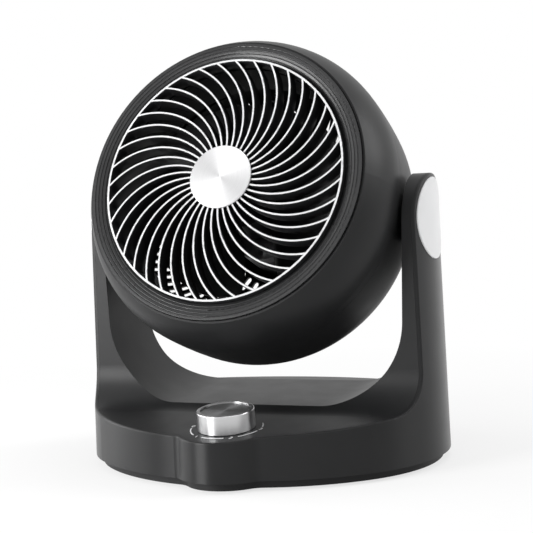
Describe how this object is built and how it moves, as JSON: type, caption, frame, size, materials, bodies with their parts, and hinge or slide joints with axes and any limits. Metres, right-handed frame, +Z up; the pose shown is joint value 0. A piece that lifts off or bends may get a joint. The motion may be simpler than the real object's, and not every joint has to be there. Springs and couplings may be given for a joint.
{
  "type": "air circulator fan",
  "caption": "Table-top air circulator fan: tilting barrel head with a spiral outlet grille, held between the arms of a yoke base with a speed knob.",
  "frame": {"origin": "on the floor, under the middle of the object's width and depth", "axes": "+Z up, -Y towards the front where the outlet and the knob are, +X to the viewer's right seen from the front; the tilt pivot runs along X"},
  "size_m": [0.26, 0.235, 0.2954],
  "materials": {
    "gloss_shell": "satin black plastic",
    "satin_black": "satin black plastic with a very fine grain",
    "base_black": "matt black plastic",
    "rubber": "matt rubber",
    "steel": "bright steel",
    "ballast_steel": "mill-finish steel plate",
    "white_plastic": "matt white plastic",
    "switch_body": "matt plastic",
    "printed_silver": "silver print",
    "silver_trim": "silver-painted plastic, satin",
    "bearing_plastic": "natural acetal",
    "chrome": "bright chromed plastic",
    "knob_face": "spun dark aluminium",
    "brushed_trim": "circular-brushed aluminium",
    "motor_aluminium": "die-cast aluminium",
    "lamination_steel": "stacked steel laminations",
    "winding_copper": "lacquered copper winding",
    "propeller_grey": "satin plastic"
  },
  "bodies": {
    "base": {"base_skirt": "gloss_shell", "base_frame": "satin_black", "base_pan": "base_black", "rubber_feet": "rubber", "pan_screws": "steel", "ballast_plate": "ballast_steel", "terminal_block": "white_plastic", "cord_inlet": "rubber", "speed_switch": "switch_body", "switch_nut": "steel", "dial_ring": "printed_silver", "left_arm_cap": "silver_trim", "right_arm_cap": "silver_trim", "left_pivot_bush": "bearing_plastic", "right_pivot_bush": "bearing_plastic"},
    "knob": {"speed_knob": "chrome", "knob_insert": "knob_face", "switch_spindle": "switch_body"},
    "head": {"front_shell": "satin_black", "rear_shell": "satin_black", "rear_grille": "satin_black", "outlet_grille": "satin_black", "front_bezel": "satin_black", "hub_disc": "brushed_trim", "shell_screws": "steel", "rear_grille_screws": "steel", "outlet_screws": "steel", "motor_screws": "steel", "motor_bolts": "steel", "friction_washers": "bearing_plastic", "pivot_plates": "steel", "pivot_screws": "steel", "motor_rear_cover": "motor_aluminium", "motor_front_cover": "motor_aluminium", "stator_core": "lamination_steel", "stator_windings": "winding_copper", "front_bearing": "steel", "rear_bearing": "steel"},
    "rotor": {"motor_shaft": "steel", "rotor_core": "lamination_steel", "propeller": "propeller_grey", "propeller_nut": "steel"}
  },
  "joints": [
    {"name": "head_tilt", "type": "hinge", "parent": "base", "child": "head", "pos_m": [0, 0.0045, 0.1675], "axis": [-1, 0, 0], "range_deg": [-21, 69]},
    {"name": "fan_spin", "type": "hinge", "parent": "head", "child": "rotor", "pos_m": [0, 0.0045, 0.176], "axis": [0, -0.9336, 0.3584], "continuous": true},
    {"name": "speed_turn", "type": "hinge", "parent": "base", "child": "knob", "pos_m": [0.006, -0.0835, 0.03657], "axis": [0, -0.1045, 0.9945], "range_deg": [0, 180]}
  ]
}
